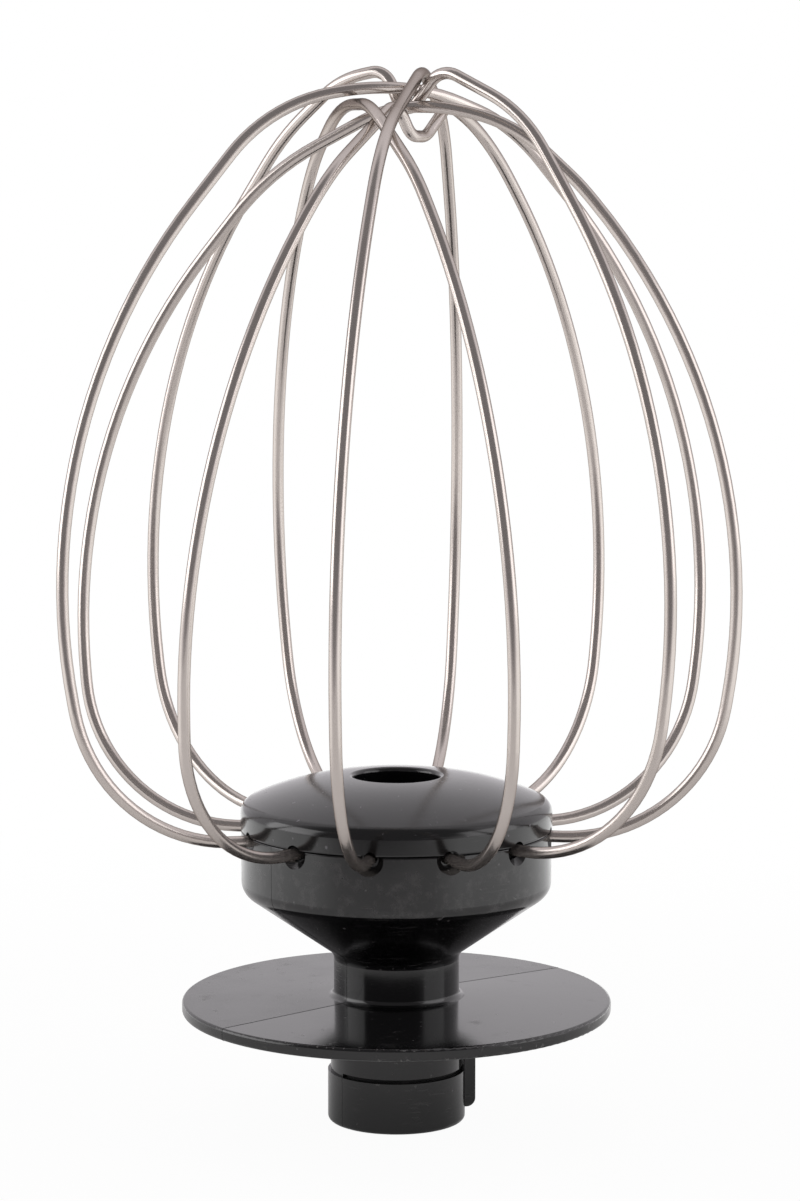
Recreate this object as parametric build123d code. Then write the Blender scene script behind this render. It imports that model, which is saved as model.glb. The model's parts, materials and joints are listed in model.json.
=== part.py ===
from build123d import *
import os
from math import cos, radians, sin, tan

# A wire whisk for a stand mixer, standing on its coupling with the wires up.
# Sizes are in millimetres, +Z is up, and the origin is the middle of the foot.
# An azimuth is in degrees from the front (-Y), growing towards the right (+X).

# Coupling sleeve
SLEEVE_R = 11.7
SLEEVE_WALL = 1.7
SLEEVE_H = 19.0
FOOT_ROUND = 0.8
WINDOW_SILL_H = 8.8
WINDOW_FROM_AZ = -112.0
WINDOW_TO_AZ = 78.0
WINDOW_DEPTH = 0.5
SLIT_FROM_AZ = -54.0
SLIT_H = 0.6
SLIT_DEPTH = 1.1

# Step inside the sleeve, with the bore for the drive shaft
STEP_H = 9.4
SHAFT_R = 6.0
SHAFT_DEPTH = 24.6

# Key rib on the outside of the sleeve
RIB_AZ = 100.0
RIB_OUT = 1.8
RIB_W = 2.4
RIB_FOOT_H = 1.7
RIB_ROUND = 1.5

# Splash disc, neck, cone and rim band
DISC_R = 36.5
DISC_T = 2.1
DISC_ROUND = 0.5
DISC_RISE = 0.6
NECK_R = 10.65
NECK_H = 7.4
NECK_FOOT_ROUND = 1.0
NECK_TOP_ROUND = 2.0
CONE_DEG = 35.0
RIM_R = 26.3
RIM_H = 10.4
RIM_ROUND = 3.0
RIM_EDGE_ROUND = 0.3

# Domed cap
CAP_OVERHANG = 0.1
CAP_EDGE_ROUND = 0.4
CAP_SIDE_H = 4.3
CAP_RISE = 4.8
CAP_BULGE = 1.0
CAP_SHOULDER_ROUND = 2.2
CAP_WALL = 2.0
CAP_LAND_W = 5.8
HOLE_R = 7.3
HOLE_ROUND = 0.7
HOLE_DEPTH = 21.5
SPIGOT_DEPTH = 6.0

# Clearances
SPIGOT_CLEAR = 0.1
BED_CLEAR = 0.1
MOUTH_CLEAR = 0.5
MOUTH_DEPTH = 2.0

# Dish in the rim round each wire's mouth
DISH_OUT = 1.1
DISH_DEPTH = 1.0

# Overall height, to the top of the highest wire
WHISK_H = 178.3

# Wire cage, all along the wire's centre line
WIRE_D = 2.0
WIRE_ENDS = 12
WIRE_DROP = 0.6
FIRST_BED_AZ = -10.0
SOCKET_R = 16.5
SOCKET_DEPTH = 5.0
SOCKET_BEND_R = 2.5
RIM_RUN = 0.9
BELLY_OUT = 31.3
FLARE_DEG = 80.0
TUCK_DEG = 128.0
SIDE_BEND_R = 105.6

# The lacing of the crown, set out for this wire and scaled to any other.
# A loop goes up one leg, through its crown bends and down the leg opposite.
# leans: how far round each leg's shoulder lies from its bed, in degrees.
# draws: how far each leg's shoulder is drawn in and down.
# bends: x, y and height against the whisk's top, then the bend radius.
LACED_WIRE_D = 2.0
LOOPS = [
    # Over all the others
    dict(leans=(1.0, -1.0), draws=(0.0, 0.0), bends=[
        (-2.2, -28.5, -11.0, 35.0),
        (4.3, 1.0, -0.4, 12.0),
        (8.0, 22.0, -8.2, 35.0),
    ]),
    # Round the left side, low
    dict(leans=(-2.5, 2.5), draws=(0.0, 0.0), bends=[
        (3.0, -29.5, -16.8, 35.0),
        (-4.2, -14.0, -6.1, 17.0),
        (-9.4, 5.5, -6.4, 42.0),
        (-14.3, 25.5, -16.3, 35.0),
    ]),
    # With a V between two peaks
    dict(leans=(-2.0, -2.0), draws=(0.0, 0.0), bends=[
        (20.5, -14.9, -7.4, 28.0),
        (7.4, -4.9, -0.2, 5.0),
        (1.4, 1.3, -8.7, 2.5),
        (-1.8, 3.3, -0.5, 3.5),
        (-9.3, 7.9, -2.1, 18.0),
        (-19.2, 16.3, -11.7, 50.0),
    ]),
    # Under the others, through the V
    dict(leans=(-4.5, -5.5), draws=(0.0, 5.0), bends=[
        (30.0, -9.9, -19.2, 36.0),
        (19.5, -7.4, -9.3, 28.0),
        (8.0, -4.6, -6.6, 30.0),
        (-1.4, -1.4, -6.7, 21.0),
        (-21.3, 5.8, -17.5, 45.0),
    ]),
    # Across the middle, through both dips
    dict(leans=(5.3, -2.0), draws=(0.0, 0.0), bends=[
        (19.6, 13.2, -9.9, 26.0),
        (1.5, -1.6, -2.0, 40.0),
        (-20.8, -7.4, -6.3, 31.0),
    ]),
    # With a U that hooks under the lowest loop
    dict(leans=(1.5, 8.5), draws=(0.0, 0.0), bends=[
        (15.5, 21.4, -11.7, 35.0),
        (8.7, 7.8, -6.2, 4.0),
        (4.9, 1.0, -11.6, 5.0),
        (2.4, -3.9, -11.4, 4.0),
        (0.0, -7.2, -5.7, 4.0),
        (-10.6, -28.1, -16.9, 34.0),
    ]),
]

# Sizes that follow from those above
DISC_EDGE_Z = SLEEVE_H + DISC_T
NECK_FOOT_Z = DISC_EDGE_Z + DISC_RISE
CONE_Z = NECK_FOOT_Z + NECK_H
RIM_FOOT_Z = CONE_Z + (RIM_R - NECK_R) * tan(radians(CONE_DEG))
SEAM_Z = RIM_FOOT_Z + RIM_H
CAP_TOP_Z = SEAM_Z + CAP_SIDE_H + CAP_RISE
SLEEVE_BORE_R = SLEEVE_R - SLEEVE_WALL
SPIGOT_R = HOLE_R + CAP_WALL
CAP_R = RIM_R + CAP_OVERHANG
BED_R = WIRE_D / 2 + BED_CLEAR
MOUTH_R = WIRE_D / 2 + MOUTH_CLEAR
RUN_Z = SEAM_Z - WIRE_DROP
LACE_SCALE = WIRE_D / LACED_WIRE_D

# The leg's two bends, which meet where the wire has turned up by the flare angle
SIDE_START_R = RIM_R + BELLY_OUT - SIDE_BEND_R * (1 - sin(radians(FLARE_DEG)))
LOW_BEND_R = (SIDE_START_R - RIM_R - RIM_RUN) / sin(radians(FLARE_DEG))
LOW_CORNER_R = RIM_R + RIM_RUN + LOW_BEND_R * tan(radians(FLARE_DEG / 2))
SIDE_START_Z = RUN_Z + LOW_BEND_R * (1 - cos(radians(FLARE_DEG)))
SIDE_REACH = SIDE_BEND_R * tan(radians((TUCK_DEG - FLARE_DEG) / 2))
SHOULDER_R = SIDE_START_R + SIDE_REACH * cos(radians(FLARE_DEG))
SHOULDER_Z = SIDE_START_Z + SIDE_REACH * sin(radians(FLARE_DEG))


def at(azimuth, r, z):
    """The point at an azimuth, a radius and a height."""
    angle = radians(azimuth)
    return Vector(r * sin(angle), -r * cos(angle), z)


def turned_to(azimuth, shape):
    """A shape drawn along +X, turned to an azimuth."""
    return Rot(0, 0, azimuth - 90) * shape


def turned_solid(outline):
    """A solid of revolution from (radius, height, corner rounding) points."""
    face = make_face(Polyline(*[(r, z) for r, z, _ in outline], close=True))
    for r, z, rounding in outline:
        if rounding > 0:
            corner = face.vertices().sort_by_distance(Vector(r, z))[0]
            face = fillet(corner, rounding)
    return revolve(Plane.XZ * face, Axis.Z)


def eased(points, radii):
    """Bend radii, made smaller where two bends would meet on one run."""
    runs = [b - a for a, b in zip(points, points[1:])]
    reaches = [0.0]
    for before, after, radius in zip(runs, runs[1:], radii):
        reaches.append(radius * tan(radians(before.get_angle(after) / 2)))
    reaches.append(0.0)
    room = [min(1.0, 0.98 * run.length / (a + b))
            for run, a, b in zip(runs, reaches, reaches[1:])]
    return [radius * min(a, b) for radius, a, b in zip(radii, room, room[1:])]


def bent_wire(points, radii, diameter):
    """Round wire along straight runs joined by bends."""
    path = FilletPolyline(*points, radius=eased(points, radii))
    section = Plane(origin=path @ 0, z_dir=path % 0) * Circle(diameter / 2)
    return sweep(section, path=path)


def leg(bed, lean, draw):
    """Corners of one leg from its socket up, and their bend radii."""
    azimuth = FIRST_BED_AZ + bed * 360 / WIRE_ENDS
    points = [
        at(azimuth, SOCKET_R, RUN_Z - SOCKET_DEPTH),
        at(azimuth, SOCKET_R, RUN_Z),
        at(azimuth, LOW_CORNER_R, RUN_Z),
        at(azimuth + lean, SHOULDER_R - draw, SHOULDER_Z - draw),
    ]
    return points, [SOCKET_BEND_R, LOW_BEND_R, SIDE_BEND_R]


def loop_route(number):
    """All corners of one loop from end to end, and their bend radii."""
    loop = LOOPS[number]
    up, up_radii = leg(number, loop["leans"][0], loop["draws"][0])
    down, down_radii = leg(number + WIRE_ENDS // 2, loop["leans"][1], loop["draws"][1])
    crown = [Vector(x * LACE_SCALE, y * LACE_SCALE, WHISK_H + z * LACE_SCALE)
             for x, y, z, _ in loop["bends"]]
    crown_radii = [radius * LACE_SCALE for *_, radius in loop["bends"]]
    return up + crown + down[::-1], up_radii + crown_radii + down_radii[::-1]


def wire_loop(number):
    """One loop of the cage."""
    points, radii = loop_route(number)
    return bent_wire(points, radii, WIRE_D)


def slot(r_from, half_width, height):
    """A groove along +X with a round bottom, open upwards over a height."""
    length = CAP_R + MOUTH_DEPTH - r_from
    run = Pos(r_from, 0, RUN_Z) * Rot(0, 90, 0) * Cylinder(
        half_width, length, align=(Align.CENTER, Align.CENTER, Align.MIN))
    if height > 0:
        run += Pos(r_from, 0, RUN_Z) * Box(
            length, 2 * half_width, height, align=(Align.MIN, Align.CENTER, Align.MIN))
    return run


def wire_bed(bed, height):
    """The groove for one wire end with its wider mouth, open upwards over a height."""
    azimuth = FIRST_BED_AZ + bed * 360 / WIRE_ENDS
    mouth = slot(RIM_R - MOUTH_DEPTH, MOUTH_R, height)
    return turned_to(azimuth, slot(SOCKET_R + SOCKET_BEND_R, BED_R, height) + mouth)


def mouth_dish(bed):
    """The shallow dish that the rim has round one wire's mouth."""
    azimuth = FIRST_BED_AZ + bed * 360 / WIRE_ENDS
    cone = Cone(MOUTH_R, MOUTH_R + 2 * DISH_OUT, 2 * DISH_DEPTH,
                align=(Align.CENTER, Align.CENTER, Align.MIN))
    return turned_to(azimuth, Pos(RIM_R - DISH_DEPTH, 0, RUN_Z) * Rot(0, 90, 0) * cone)


def wire_socket(bed):
    """The upright hole for one wire end, with its bend into the groove."""
    azimuth = FIRST_BED_AZ + bed * 360 / WIRE_ENDS
    points = [
        at(azimuth, SOCKET_R, RUN_Z - SOCKET_DEPTH - BED_CLEAR),
        at(azimuth, SOCKET_R, RUN_Z),
        at(azimuth, SOCKET_R + 2 * SOCKET_BEND_R, RUN_Z),
    ]
    socket = bent_wire(points, [SOCKET_BEND_R], 2 * BED_R)
    top = Pos(SOCKET_R - BED_R, 0, RUN_Z) * Box(
        SOCKET_BEND_R + BED_R, 2 * BED_R, BED_R, align=(Align.MIN, Align.CENTER, Align.MIN))
    return socket + turned_to(azimuth, top)


def hub_outline():
    """Half section of the hub, from the shaft bore out, up and back in."""
    return [
        (0, STEP_H + SHAFT_DEPTH, 0),
        (SHAFT_R, STEP_H + SHAFT_DEPTH, 0),
        (SHAFT_R, STEP_H, 0),
        (SLEEVE_BORE_R, STEP_H, 0),
        (SLEEVE_BORE_R, 0, 0),
        (SLEEVE_R, 0, FOOT_ROUND),
        (SLEEVE_R, SLEEVE_H, 0),
        (DISC_R, SLEEVE_H, DISC_ROUND),
        (DISC_R, DISC_EDGE_Z, DISC_ROUND),
        (NECK_R, NECK_FOOT_Z, NECK_FOOT_ROUND),
        (NECK_R, CONE_Z, NECK_TOP_ROUND),
        (RIM_R, RIM_FOOT_Z, RIM_ROUND),
        (RIM_R, SEAM_Z, RIM_EDGE_ROUND),
        (SPIGOT_R + SPIGOT_CLEAR, SEAM_Z, 0),
        (SPIGOT_R + SPIGOT_CLEAR, CAP_TOP_Z - HOLE_DEPTH, 0),
        (0, CAP_TOP_Z - HOLE_DEPTH, 0),
    ]


def key_rib():
    """The rib beside the window, rounded at its lower outer corner."""
    outline = [
        (SLEEVE_BORE_R + SLEEVE_WALL / 2, SLEEVE_H),
        (SLEEVE_BORE_R + SLEEVE_WALL / 2, RIB_FOOT_H),
        (SLEEVE_R + RIB_OUT, RIB_FOOT_H),
        (SLEEVE_R + RIB_OUT, SLEEVE_H),
    ]
    face = make_face(Polyline(*outline, close=True))
    corner = face.vertices().sort_by_distance(Vector(SLEEVE_R + RIB_OUT, RIB_FOOT_H))[0]
    face = fillet(corner, RIB_ROUND)
    return turned_to(RIB_AZ, extrude(Plane.XZ * face, RIB_W / 2, both=True))


def sleeve_cut(from_az, depth, from_h, to_h):
    """A cut round part of the sleeve's outside, which ends at the window's right edge."""
    outline = [
        (SLEEVE_R + depth, from_h),
        (SLEEVE_R - depth, from_h),
        (SLEEVE_R - depth, to_h),
        (SLEEVE_R + depth, to_h),
    ]
    face = make_face(Polyline(*outline, close=True))
    return turned_to(from_az, revolve(Plane.XZ * face, Axis.Z, WINDOW_TO_AZ - from_az))


def sleeve_window():
    """The recess in the sleeve up to the disc, with a deeper slit at its sill in front."""
    recess = sleeve_cut(WINDOW_FROM_AZ, WINDOW_DEPTH, WINDOW_SILL_H, SLEEVE_H)
    slit = sleeve_cut(SLIT_FROM_AZ, SLIT_DEPTH, WINDOW_SILL_H, WINDOW_SILL_H + SLIT_H)
    return recess + slit


def hub_body():
    """The black moulding that carries everything else."""
    hub = turned_solid(hub_outline())
    hub = hub - sleeve_window() + key_rib()
    for bed in range(WIRE_ENDS):
        hub = hub - wire_socket(bed) - wire_bed(bed, WIRE_D) - mouth_dish(bed)
    return hub


def dome_cap():
    """The glossy cap, hollow below between its rim and its spigot."""
    shoulder_z = SEAM_Z + CAP_SIDE_H
    land_r = RIM_R - CAP_LAND_W
    drop = CAP_RISE / (CAP_R - HOLE_R)
    under_z = CAP_TOP_Z - CAP_WALL
    outline = Polyline(
        (HOLE_R, CAP_TOP_Z),
        (HOLE_R, SEAM_Z - SPIGOT_DEPTH),
        (SPIGOT_R, SEAM_Z - SPIGOT_DEPTH),
        (SPIGOT_R, under_z - drop * (SPIGOT_R - HOLE_R)),
        (land_r, under_z - drop * (land_r - HOLE_R)),
        (land_r, SEAM_Z),
        (CAP_R, SEAM_Z),
        (CAP_R, shoulder_z),
    )
    dome = SagittaArc((CAP_R, shoulder_z), (HOLE_R, CAP_TOP_Z), -CAP_BULGE)
    face = make_face(outline + dome)
    roundings = {
        (CAP_R, SEAM_Z): CAP_EDGE_ROUND,
        (CAP_R, shoulder_z): CAP_SHOULDER_ROUND,
        (HOLE_R, CAP_TOP_Z): HOLE_ROUND,
    }
    for place, rounding in roundings.items():
        face = fillet(face.vertices().sort_by_distance(Vector(*place))[0], rounding)
    cap = revolve(Plane.XZ * face, Axis.Z)
    for bed in range(WIRE_ENDS):
        cap = cap - wire_bed(bed, 0)
    return cap


def build():
    """Every piece by its name."""
    pieces = {"hub_body": hub_body(), "dome_cap": dome_cap()}
    for number in range(len(LOOPS)):
        pieces[f"wire_loop_{number + 1}"] = wire_loop(number)
    return pieces


os.makedirs("parts", exist_ok=True)
for name, shape in build().items():
    export_step(shape, f"parts/{name}.step")
    print(name, "volume", round(shape.volume, 1), "box", shape.bounding_box().size)
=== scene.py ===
# %% [markdown]
# # A wire whisk for a stand mixer
#
# The whisk stands on its coupling with the wires up, as it would on a shelf. Its solids
# come ready made: a black hub, a glossy domed cap and six loops of steel wire. This lesson
# gives them their surfaces, adds the fine line that the mould left on the hub, and sets up
# a white studio. Blender works in metres here, so a small factor turns millimetres into them.

import json
import math

import bmesh
import bpy
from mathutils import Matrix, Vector


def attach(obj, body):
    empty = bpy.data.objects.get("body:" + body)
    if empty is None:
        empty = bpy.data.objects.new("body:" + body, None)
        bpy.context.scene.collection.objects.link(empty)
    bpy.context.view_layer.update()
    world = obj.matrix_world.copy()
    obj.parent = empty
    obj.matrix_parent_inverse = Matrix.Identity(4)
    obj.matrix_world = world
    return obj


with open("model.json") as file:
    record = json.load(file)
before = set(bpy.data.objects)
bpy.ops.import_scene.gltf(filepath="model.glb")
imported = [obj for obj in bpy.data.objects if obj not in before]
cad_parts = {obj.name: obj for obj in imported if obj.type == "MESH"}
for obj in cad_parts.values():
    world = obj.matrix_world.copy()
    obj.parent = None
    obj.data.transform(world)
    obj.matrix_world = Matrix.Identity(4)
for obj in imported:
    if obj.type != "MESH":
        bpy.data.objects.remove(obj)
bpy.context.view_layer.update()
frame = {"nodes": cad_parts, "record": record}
nodes = frame["nodes"]
MM = 0.001
print("loaded", len(nodes), "solids:", ", ".join(sorted(nodes)))

# %% [markdown]
# ## Helpers for colours and nodes
#
# Colours are easiest to name as the hex values that a colour picker shows. A shader wants
# linear light instead, so one function takes the sRGB curve out of them. A second function
# adds any node with its settings and links in one go: an input that is given as another
# node's output is linked, and any other value is set. Sockets that share a name, such as
# the colours of a Mix node, are given by number. A third starts a material with an empty
# node tree, because every finish here is built from its first node.

# %% Colour and node helpers
def linear(hex_colour):
    channels = [int(hex_colour[i:i + 2], 16) / 255 for i in (1, 3, 5)]
    light = [c / 12.92 if c <= 0.04045 else ((c + 0.055) / 1.055) ** 2.4 for c in channels]
    return (*light, 1.0)


def add(tree, kind, inputs=None, **settings):
    node = tree.nodes.new(kind)
    for name, value in settings.items():
        setattr(node, name, value)
    for socket, value in (inputs or {}).items():
        if isinstance(value, bpy.types.NodeSocket):
            tree.links.new(value, node.inputs[socket])
        else:
            node.inputs[socket].default_value = value
    return node


def new_material(name):
    material = bpy.data.materials.new(name)
    material.use_nodes = True
    material.node_tree.nodes.clear()
    return material, material.node_tree


print("a mid grey in linear light:", [round(c, 3) for c in linear("#808080")[:3]])

# %% [markdown]
# ## The camera
#
# A product photographer stands well back with a long lens, so that the near and the far
# wires come out almost the same size. The camera looks down a little, which shows the top
# of the splash disc and the cap. The picture is taller than wide, so the sensor is fitted
# to its height: then the lens length says directly how tall the view is.

# %% Set up the camera
CAMERA_AT_MM = (0.6, -650, 176)
LOOKS_DOWN_DEG = 7.6
LENS_MM = 116.9
SENSOR_MM = 36

camera_data = bpy.data.cameras.new("studio_camera")
camera_data.sensor_fit = "VERTICAL"
camera_data.sensor_height = SENSOR_MM
camera_data.lens = LENS_MM
camera = bpy.data.objects.new("studio_camera", camera_data)
camera.location = [c * MM for c in CAMERA_AT_MM]
camera.rotation_euler = (math.radians(90 - LOOKS_DOWN_DEG), 0, 0)
bpy.context.scene.collection.objects.link(camera)
bpy.context.scene.camera = camera
print("camera", -CAMERA_AT_MM[1], "mm in front of the whisk")

# %% [markdown]
# ## Steel wire
#
# The wires are stainless steel, drawn through a die and then polished. Drawing leaves very
# fine lines along the wire, and polishing leaves them shallow, so the wire is a soft
# mirror: white where it sees the tent, grey where it sees the dark room behind the camera.
# A metal has no colour under its surface. Its base colour is the tint of its reflections,
# a warm grey here that changes slowly along the wire. The specular tint is their tint at a
# very low angle, and a darker one keeps the wire's outline in front of white. Washing
# leaves a thin dull film on the steel, so the surface is a little less than all metal, and
# the rest scatters light.
#
# An anisotropic shader could smear the reflections as the lines do, but it would need to
# know which way each bent wire runs. A noise stretched along the height does well enough,
# because the legs run mostly upwards. Real draw lines are a few hundredths of a millimetre
# apart, too fine to show, so they are drawn coarser.

# %% Drawn and polished stainless wire
DRAW_LINE_MM = 0.3
DRAW_LENGTH_MM = 12.0
LINE_RANGE = (0.3, 0.7)
LINE_DEPTH_MM = 0.01
LINE_RELIEF = 0.04
STEEL_ROUGH = (0.15, 0.22)
STAIN_MM = 14.0
STEEL_TINTS = ("#b8b0aa", "#cac2bd")
LOW_ANGLE_TINT = "#7a726d"
METAL_SHARE = 0.88

wire_steel, tree = new_material("stainless_wire_drawn_polished")
place = add(tree, "ShaderNodeTexCoord").outputs["Object"]
line_scale = [1 / (size * MM) for size in (DRAW_LINE_MM, DRAW_LINE_MM, DRAW_LENGTH_MM)]
lines_at = add(tree, "ShaderNodeMapping", {"Vector": place, "Scale": line_scale})
lines = add(tree, "ShaderNodeTexNoise", {
    "Vector": lines_at.outputs["Vector"], "Scale": 1.0, "Detail": 2.0})
stains = add(tree, "ShaderNodeTexNoise", {
    "Vector": place, "Scale": 1 / (STAIN_MM * MM), "Detail": 3.0})
tint = add(tree, "ShaderNodeMix", {
    0: stains.outputs["Fac"], 6: linear(STEEL_TINTS[0]), 7: linear(STEEL_TINTS[1])},
    data_type="RGBA")
gloss = add(tree, "ShaderNodeMapRange", {
    "Value": lines.outputs["Fac"], "From Min": LINE_RANGE[0], "From Max": LINE_RANGE[1],
    "To Min": STEEL_ROUGH[0], "To Max": STEEL_ROUGH[1]})
relief = add(tree, "ShaderNodeBump", {
    "Height": lines.outputs["Fac"], "Strength": LINE_RELIEF, "Distance": LINE_DEPTH_MM * MM})
steel = add(tree, "ShaderNodeBsdfPrincipled", {
    "Base Color": tint.outputs[2], "Metallic": METAL_SHARE,
    "Roughness": gloss.outputs["Result"], "Specular Tint": linear(LOW_ANGLE_TINT),
    "Normal": relief.outputs["Normal"]})
add(tree, "ShaderNodeOutputMaterial", {"Surface": steel.outputs["BSDF"]})
print("made", wire_steel.name)

# %% [markdown]
# ## Places on the black plastic
#
# Wear isn't spread evenly over the hub, so its shader first asks where a point is. Knocks
# sit on the two rounded edges of the splash disc, which is the widest part of the hub and
# hits the bowl first. The distance from the axis finds those edges: it grows over the
# rounding, and is largest on the disc's side. Blotches come from hands, which hold the hub
# by its rim, so the height finds them. Both places could be painted by hand as well, but
# this way they follow from the part's sizes and fit without a texture map.

# %% Find the disc's edges and the rim
DISC_ROUNDING_MM = (36.1, 36.3)
DISC_SIDE_MM = (36.38, 36.47)
RIM_MIDDLE_MM = 45.3
RIM_HALF_MM = 5.0


def locate(tree):
    place = add(tree, "ShaderNodeTexCoord").outputs["Object"]
    height = add(tree, "ShaderNodeSeparateXYZ", {"Vector": place}).outputs["Z"]
    flat = add(tree, "ShaderNodeVectorMath", {0: place, 1: (1, 1, 0)}, operation="MULTIPLY")
    from_axis = add(tree, "ShaderNodeVectorMath", {0: flat.outputs["Vector"]}, operation="LENGTH")
    return place, height, from_axis.outputs["Value"]


def worn_places(tree, height, from_axis):
    rounding = add(tree, "ShaderNodeMapRange", {
        "Value": from_axis, "From Min": DISC_ROUNDING_MM[0] * MM,
        "From Max": DISC_ROUNDING_MM[1] * MM})
    edges = add(tree, "ShaderNodeMapRange", {
        "Value": from_axis, "From Min": DISC_SIDE_MM[0] * MM, "From Max": DISC_SIDE_MM[1] * MM,
        "To Min": rounding.outputs["Result"], "To Max": 0.0})
    rim = add(tree, "ShaderNodeMath", {
        0: height, 1: RIM_MIDDLE_MM * MM, 2: RIM_HALF_MM * MM}, operation="COMPARE")
    return edges.outputs["Result"], rim.outputs["Value"]


print("rim from", RIM_MIDDLE_MM - RIM_HALF_MM, "to", RIM_MIDDLE_MM + RIM_HALF_MM, "mm high")

# %% [markdown]
# ## Wear on black plastic
#
# Black plastic shows every mark, because a scratch or a grain of dust scatters light and
# turns pale. Four kinds of mark are worth drawing. A picture of scratches would repeat
# itself over the part, so each kind is a noise with only its peaks kept, times the place
# where such marks lie. Scuffs are short streaks, from a noise stretched in one direction,
# and they lie in patches. Dust is a scatter of tiny dots and lies everywhere. Knocks are
# grains on the disc's edges, and blotches are faint smears on the rim. The strongest of the
# four at a point is the amount of wear there.

# %% Marks that use leaves
SCUFF_WIDTH_MM = 0.35
SCUFF_LENGTH_MM = 4.0
SCUFF_TURN = (0.3, 0.5, 0.2)
SCUFF_PEAKS = (0.58, 0.76)
PATCH_PEAKS = (0.47, 0.66)
DUST_MM = 0.9
DUST_PEAKS = (0.8, 0.86)
KNOCK_MM = 0.7
KNOCK_PEAKS = (0.62, 0.7)
KNOCKING = 0.9
BLOTCH_MM = 2.5
BLOTCH_PEAKS = (0.51, 0.68)
BLOTCHING = 0.32


def wear(tree, place, patch, edges, rim, scuffing, dusting):
    scale = [1 / (size * MM) for size in (SCUFF_LENGTH_MM, SCUFF_LENGTH_MM, SCUFF_WIDTH_MM)]
    streak_at = add(tree, "ShaderNodeMapping", {
        "Vector": place, "Rotation": SCUFF_TURN, "Scale": scale})
    streak = add(tree, "ShaderNodeTexNoise", {
        "Vector": streak_at.outputs["Vector"], "Scale": 1.0, "Detail": 3.0})
    patches = add(tree, "ShaderNodeMapRange", {
        "Value": patch, "From Min": PATCH_PEAKS[0], "From Max": PATCH_PEAKS[1]})
    dots = add(tree, "ShaderNodeTexNoise", {
        "Vector": place, "Scale": 1 / (DUST_MM * MM), "Detail": 0.0})
    grain = add(tree, "ShaderNodeTexNoise", {
        "Vector": place, "Scale": 1 / (KNOCK_MM * MM), "Detail": 1.0})
    smear = add(tree, "ShaderNodeTexNoise", {
        "Vector": place, "Scale": 1 / (BLOTCH_MM * MM), "Detail": 5.0, "Roughness": 0.65})
    marks = [(dots, DUST_PEAKS, dusting, 1.0),
             (streak, SCUFF_PEAKS, scuffing, patches.outputs["Result"]),
             (grain, KNOCK_PEAKS, KNOCKING, edges),
             (smear, BLOTCH_PEAKS, BLOTCHING, rim)]
    worn = 0.0
    for noise, (start, full), amount, where in marks:
        mark = add(tree, "ShaderNodeMapRange", {
            "Value": noise.outputs["Fac"], "From Min": start, "From Max": full,
            "To Max": amount})
        there = add(tree, "ShaderNodeMath", {
            0: mark.outputs["Result"], 1: where}, operation="MULTIPLY")
        strongest = add(tree, "ShaderNodeMath", {
            0: worn, 1: there.outputs["Value"]}, operation="MAXIMUM")
        worn = strongest.outputs["Value"]
    return worn


print("scuffs about", SCUFF_LENGTH_MM, "mm long, dust dots under", DUST_MM, "mm")

# %% [markdown]
# ## Polish of the mould
#
# A moulding takes the polish of its mould. The hub's mould had two halves with a different
# polish: the front right half is smoother and shows the neck as a dark reflection on the
# disc, and the back left half is duller and looks evenly grey. Two materials would need
# faces that end where the halves meet. The halves meet in one upright plane through the
# axis, so the shader picks the roughness by the side of that plane instead. The slit in
# the sleeve was made by a slide in the mould that nobody polished, so it is rough and
# stays dark. It lies in a narrow band of heights, nearer to the axis than the sleeve's
# recess.

# %% Roughness from the mould
PARTING_DEG = 128
SLIT_MIDDLE_MM = 9.1
SLIT_HALF_MM = 0.4
RECESS_INSIDE_MM = 11.15
SLIT_ROUGH = 0.8

parting_turn = math.radians(PARTING_DEG)
parting_side = Vector((math.cos(parting_turn), math.sin(parting_turn), 0))


def mould_polish(tree, place, height, from_axis, front_rough, back_rough):
    side = add(tree, "ShaderNodeVectorMath", {0: place, 1: parting_side}, operation="DOT_PRODUCT")
    back = add(tree, "ShaderNodeMath", {
        0: side.outputs["Value"], 1: 0.0}, operation="GREATER_THAN")
    half = add(tree, "ShaderNodeMapRange", {
        "Value": back.outputs["Value"], "To Min": front_rough, "To Max": back_rough})
    level = add(tree, "ShaderNodeMath", {
        0: height, 1: SLIT_MIDDLE_MM * MM, 2: SLIT_HALF_MM * MM}, operation="COMPARE")
    inside = add(tree, "ShaderNodeMath", {
        0: from_axis, 1: RECESS_INSIDE_MM * MM}, operation="LESS_THAN")
    slit = add(tree, "ShaderNodeMath", {
        0: level.outputs["Value"], 1: inside.outputs["Value"]}, operation="MULTIPLY")
    polish = add(tree, "ShaderNodeMath", {
        0: slit.outputs["Value"], 1: SLIT_ROUGH, 2: half.outputs["Result"]},
        operation="MULTIPLY_ADD")
    return polish.outputs["Value"]


print("the mould's halves part along a plane facing", PARTING_DEG, "degrees")

# %% [markdown]
# ## Moulded ABS
#
# Hub and cap are moulded in black ABS, which reflects a few percent of the light straight
# on and far more at a low angle. Handling leaves a light haze in patches, and wear dulls
# the gloss where it turns the black pale. A very shallow, slow noise in the bump stands for
# the orange peel of a cooled moulding. One function makes both plastics, because they
# differ only in polish and wear: the cap's mould was polished evenly, so the cap is a soft
# dark mirror all round, and it has fewer scuffs than the hub.

# %% Two black plastics
ABS_BLACK = "#0b0b0c"
ABS_IOR = 1.53
PATCH_MM = 9.0
PATCH_HAZE = 0.12
WEAR_DULLS = 0.3
PEEL_DEPTH_MM = 0.003
PEEL_RELIEF = 0.5


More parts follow.
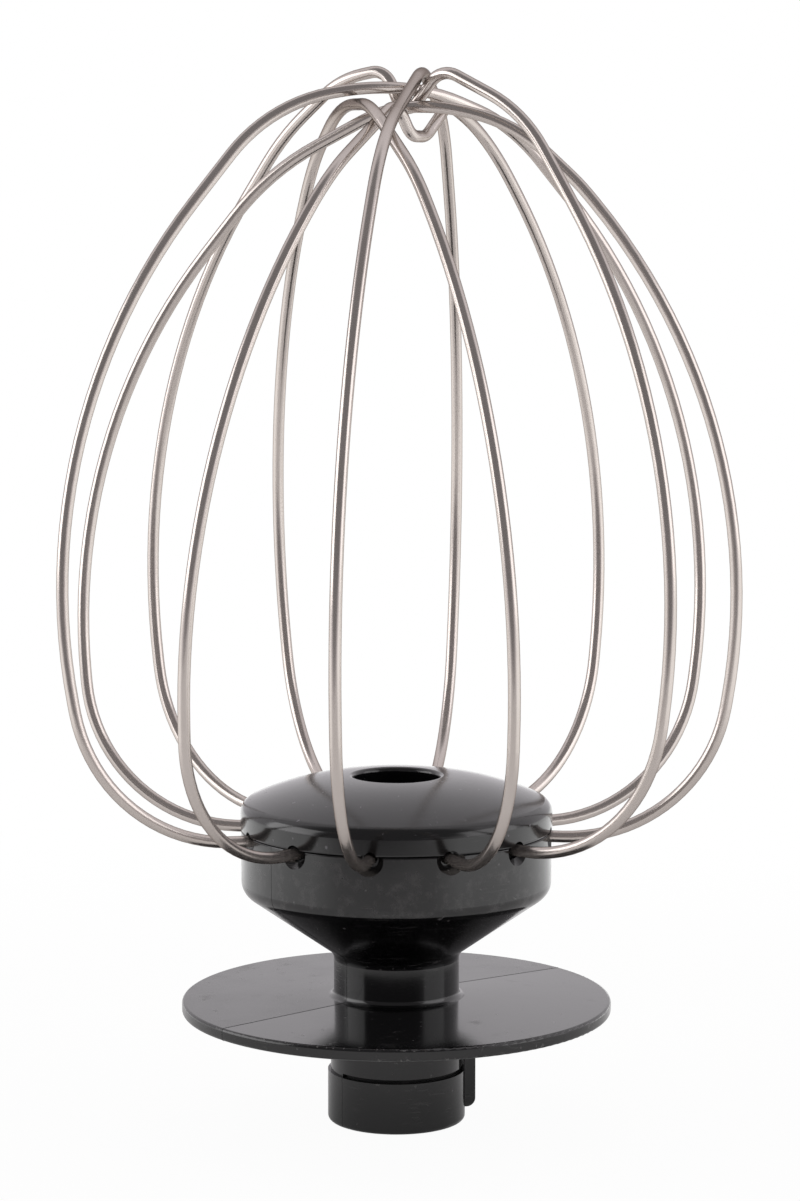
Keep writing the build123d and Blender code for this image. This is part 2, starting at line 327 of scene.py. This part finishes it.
def moulded_black(name, pale, front_rough, back_rough, scuffing, dusting, peel_mm):
    material, tree = new_material(name)
    place, height, from_axis = locate(tree)
    edges, rim = worn_places(tree, height, from_axis)
    patch = add(tree, "ShaderNodeTexNoise", {
        "Vector": place, "Scale": 1 / (PATCH_MM * MM), "Detail": 4.0}).outputs["Fac"]
    worn = wear(tree, place, patch, edges, rim, scuffing, dusting)
    colour = add(tree, "ShaderNodeMix", {
        0: worn, 6: linear(ABS_BLACK), 7: linear(pale)}, data_type="RGBA")
    polish = mould_polish(tree, place, height, from_axis, front_rough, back_rough)
    hazy = add(tree, "ShaderNodeMath", {
        0: patch, 1: PATCH_HAZE, 2: polish}, operation="MULTIPLY_ADD")
    rough = add(tree, "ShaderNodeMath", {
        0: worn, 1: WEAR_DULLS, 2: hazy.outputs["Value"]},
        operation="MULTIPLY_ADD", use_clamp=True)
    peel = add(tree, "ShaderNodeTexNoise", {
        "Vector": place, "Scale": 1 / (peel_mm * MM), "Detail": 1.0})
    relief = add(tree, "ShaderNodeBump", {
        "Height": peel.outputs["Fac"], "Strength": PEEL_RELIEF, "Distance": PEEL_DEPTH_MM * MM})
    shader = add(tree, "ShaderNodeBsdfPrincipled", {
        "Base Color": colour.outputs[2], "Roughness": rough.outputs["Value"], "IOR": ABS_IOR,
        "Normal": relief.outputs["Normal"]})
    add(tree, "ShaderNodeOutputMaterial", {"Surface": shader.outputs["BSDF"]})
    print("made", material.name)
    return material


hub_plastic = moulded_black("abs_black_moulded_semigloss", pale="#5e5c5c", front_rough=0.07,
                            back_rough=0.16, scuffing=0.5, dusting=0.5, peel_mm=1.2)
cap_plastic = moulded_black("abs_black_moulded_gloss", pale="#77757a", front_rough=0.1,
                            back_rough=0.1, scuffing=0.2, dusting=0.6, peel_mm=2.5)

# %% [markdown]
# ## Dress the solids
#
# The solids already have the right shape, so they stay, and each one only swaps its plain
# material for the finished one. The record that came with them says which slot each has.

# %% Give each solid its material
finish_of = {"hub_plastic": hub_plastic, "cap_plastic": cap_plastic, "wire_steel": wire_steel}
for part in frame["record"]["subparts"]:
    solid = nodes[part["node"]]
    solid.data.materials.clear()
    solid.data.materials.append(finish_of[part["material_slot"]])
    print(part["node"], "is", solid.data.materials[0].name)

# %% [markdown]
# ## The mould's parting line
#
# Where the two halves of the mould met, a fine raised line runs over the hub. Drawing it by
# hand over every step and curve would be slow. Instead a copy of the hub is cut by the
# parting plane, and the new edges lie exactly along the line. The edges inside the bores
# and under the cap are dropped, because nobody can see them. An edge is on the outside if
# it is further from the axis than a radius just inside the sleeve or the neck.

# %% Cut a copy of the hub
INSIDE_SLEEVE_MM = 11.5
INSIDE_NECK_MM = 10.4
BELOW_DISC_MM = 18.5
SEAM_MM = 50.3
WELD_MM = 0.002
ON_PLANE_MM = 0.001
SHORTEST_RUN_MM = 0.0001


def shows(point):
    from_axis_mm = math.hypot(point.x, point.y) / MM
    height_mm = point.z / MM
    inside_mm = INSIDE_SLEEVE_MM if height_mm < BELOW_DISC_MM else INSIDE_NECK_MM
    return from_axis_mm > inside_mm and height_mm < SEAM_MM


cut = bmesh.new()
cut.from_mesh(nodes["hub_body"].data)
bmesh.ops.remove_doubles(cut, verts=cut.verts, dist=WELD_MM * MM)
found = bmesh.ops.bisect_plane(cut, geom=cut.verts[:] + cut.edges[:] + cut.faces[:],
                               plane_co=(0, 0, 0), plane_no=parting_side, dist=ON_PLANE_MM * MM)
cuts = [e for e in found["geom_cut"] if isinstance(e, bmesh.types.BMEdge)]
runs = [[v.co.copy() for v in e.verts] for e in cuts if e.calc_length() > SHORTEST_RUN_MM * MM]
runs = [run for run in runs if all(shows(end) for end in run)]
cut.free()
print("the plane makes", len(cuts), "edges, and", len(runs), "of them show")

# %% [markdown]
# A curve object can give every run of a line a round section, so one curve with many short
# runs makes the bead. It is a tenth of a millimetre thick and half sunk in the hub.

# %% Lay a bead along the line
BEAD_RADIUS_MM = 0.05

bead = bpy.data.curves.new("hub_parting_line", "CURVE")
bead.dimensions = "3D"
bead.bevel_depth = BEAD_RADIUS_MM * MM
bead.bevel_resolution = 1
for run in runs:
    spline = bead.splines.new("POLY")
    spline.points.add(1)
    for point, end in zip(spline.points, run):
        point.co = (*end, 1)
bead.materials.append(hub_plastic)
parting_line = bpy.data.objects.new("hub_parting_line", bead)
bpy.context.scene.collection.objects.link(parting_line)
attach(parting_line, "root")
print("bead of", len(bead.splines), "runs")

# %% [markdown]
# ## The floor
#
# The whisk stands on a sheet of white paper. A shadow catcher would hide it, but paper also
# throws light back up under the disc, so it is a real sheet here. It reaches far back and
# to both sides, and ends a short way in front, at a slight slant, where the table ends too.

# %% Lay the sheet
PAPER_MM = [(-3000, 470), (3000, -1030), (3000, 6000), (-3000, 6000)]

floor_mesh = bpy.data.meshes.new("studio_floor")
floor_mesh.from_pydata([(x * MM, y * MM, 0) for x, y in PAPER_MM], [], [(0, 1, 2, 3)])
floor = bpy.data.objects.new("studio_floor", floor_mesh)
bpy.context.scene.collection.objects.link(floor)
print("sheet with", len(PAPER_MM), "corners")

# %% [markdown]
# Paper under a lamp is never as white as the page of a catalogue. More light would whiten
# it, but would bleach the whisk too. So the camera sees the paper mixed with pure white:
# mostly near the whisk, where a trace of the soft shadow stays, and wholly further out,
# where a horizon would show. Shiny things see the glare of the lamps on the paper. It is
# strong far out at the sides and behind, and weak close by and in front, so the direction
# from the whisk's axis counts too. A light path node tells which kind of ray is asking.

# %% Matte white paper
PAPER_WHITE = "#f0f0ee"
TO_WHITE_MM = (100, 270)
WHITE_NEAR = 0.95
OPEN_FLOOR = (-0.14, -0.99, 0)
OPEN_FLOOR_FADE = (0.6, 0.85)
GLARE_NEAR = 0.2
GLARE = 0.5

white_paper, tree = new_material("white_paper_matte")
place = add(tree, "ShaderNodeTexCoord").outputs["Object"]
away = add(tree, "ShaderNodeVectorMath", {0: place}, operation="LENGTH")
far = add(tree, "ShaderNodeMapRange", {
    "Value": away.outputs["Value"], "From Min": TO_WHITE_MM[0] * MM,
    "From Max": TO_WHITE_MM[1] * MM, "To Min": GLARE_NEAR}, interpolation_type="SMOOTHSTEP")
shown = add(tree, "ShaderNodeMapRange", {"Value": far.outputs["Result"], "To Min": WHITE_NEAR})
path = add(tree, "ShaderNodeLightPath")
seen = add(tree, "ShaderNodeMath", {
    0: path.outputs["Is Camera Ray"], 1: shown.outputs["Result"]}, operation="MULTIPLY")
outwards = add(tree, "ShaderNodeVectorMath", {0: place}, operation="NORMALIZE")
front = add(tree, "ShaderNodeVectorMath", {
    0: outwards.outputs["Vector"], 1: OPEN_FLOOR}, operation="DOT_PRODUCT")
glossy = add(tree, "ShaderNodeMapRange", {
    "Value": front.outputs["Value"], "From Min": OPEN_FLOOR_FADE[0],
    "From Max": OPEN_FLOOR_FADE[1], "To Min": far.outputs["Result"], "To Max": GLARE_NEAR})
share = add(tree, "ShaderNodeMath", {
    0: path.outputs["Is Glossy Ray"], 1: glossy.outputs["Result"], 2: seen.outputs["Value"]},
    operation="MULTIPLY_ADD")
paper = add(tree, "ShaderNodeBsdfDiffuse", {"Color": linear(PAPER_WHITE)})
glare = add(tree, "ShaderNodeMath", {
    0: path.outputs["Is Glossy Ray"], 1: GLARE, 2: 1.0}, operation="MULTIPLY_ADD")
white = add(tree, "ShaderNodeEmission", {
    "Color": (1, 1, 1, 1), "Strength": glare.outputs["Value"]})
mixed = add(tree, "ShaderNodeMixShader", {
    0: share.outputs["Value"], 1: paper.outputs["BSDF"], 2: white.outputs["Emission"]})
add(tree, "ShaderNodeOutputMaterial", {"Surface": mixed.outputs["Shader"]})
floor_mesh.materials.append(white_paper)
print("made", white_paper.name, "with full glare from", TO_WHITE_MM[1], "mm out")

# %% [markdown]
# ## The light tent
#
# Shiny things are photographed in a white tent, and they look like whatever stands around
# them. Sheets of cloth with lamps behind them would do, but the world can play the tent
# with less noise: white behind and at the sides, and grey in front and above, where its
# open side shows the room and the camera. That grey is what draws the dark line down each
# wire and over the crown, and keeps the front of the cap black. The white has a faint
# violet cast, as the cloth of a tent often has. The camera itself sees plain white.

# %% World as a tent
TENT_CLOTH = "#fffbff"
OPEN_SIDE = (-0.15, -0.8, 0.58)
OPEN_SIDE_FADE = (0.35, 0.68)
ROOM_LIGHT = 0.25

world = bpy.data.worlds.new("white_tent")
world.use_nodes = True
bpy.context.scene.world = world
tree = world.node_tree
tree.nodes.clear()
direction = add(tree, "ShaderNodeTexCoord").outputs["Generated"]
towards = add(tree, "ShaderNodeVectorMath", {
    0: direction, 1: OPEN_SIDE}, operation="DOT_PRODUCT")
level = add(tree, "ShaderNodeMapRange", {
    "Value": towards.outputs["Value"], "From Min": OPEN_SIDE_FADE[0],
    "From Max": OPEN_SIDE_FADE[1], "To Min": 1.0, "To Max": ROOM_LIGHT},
    interpolation_type="SMOOTHSTEP")
tent = add(tree, "ShaderNodeBackground", {
    "Color": linear(TENT_CLOTH), "Strength": level.outputs["Result"]})
plain = add(tree, "ShaderNodeBackground", {"Color": (1, 1, 1, 1), "Strength": 1.0})
path = add(tree, "ShaderNodeLightPath")
sky = add(tree, "ShaderNodeMixShader", {
    0: path.outputs["Is Camera Ray"], 1: tent.outputs["Background"],
    2: plain.outputs["Background"]})
add(tree, "ShaderNodeOutputWorld", {"Surface": sky.outputs["Shader"]})
print("tent open towards", OPEN_SIDE)

# %% [markdown]
# ## Softboxes
#
# A tent alone is flat. Two softboxes at the sides lay a soft bright stripe down the neck
# and along the wires, and a bright patch on each side of the cap. A lamp's power spreads
# over its area, so each box gets the power that makes its face as bright as asked, with
# the tent at one.

# %% Two softboxes
AIM_MM = (0, 0, 80)
BOX_MM = (800, 600)


def softbox(name, at_mm, brightness):
    lamp = bpy.data.lights.new(name, "AREA")
    lamp.shape = "RECTANGLE"
    lamp.size, lamp.size_y = [s * MM for s in BOX_MM]
    lamp.energy = brightness * math.pi * lamp.size * lamp.size_y
    box = bpy.data.objects.new(name, lamp)
    box.location = [c * MM for c in at_mm]
    away = Vector(at_mm) - Vector(AIM_MM)
    box.rotation_euler = away.to_track_quat("Z", "Y").to_euler()
    bpy.context.scene.collection.objects.link(box)
    print(name, round(lamp.energy, 2), "W")


softbox("softbox_left", at_mm=(-900, -80, 320), brightness=2.1)
softbox("softbox_right", at_mm=(870, -235, 320), brightness=1.2)

# %% [markdown]
# ## Finish
#
# The standard view transform shows colours as they were written.

# %% Finish
bpy.context.scene.view_settings.view_transform = "Standard"
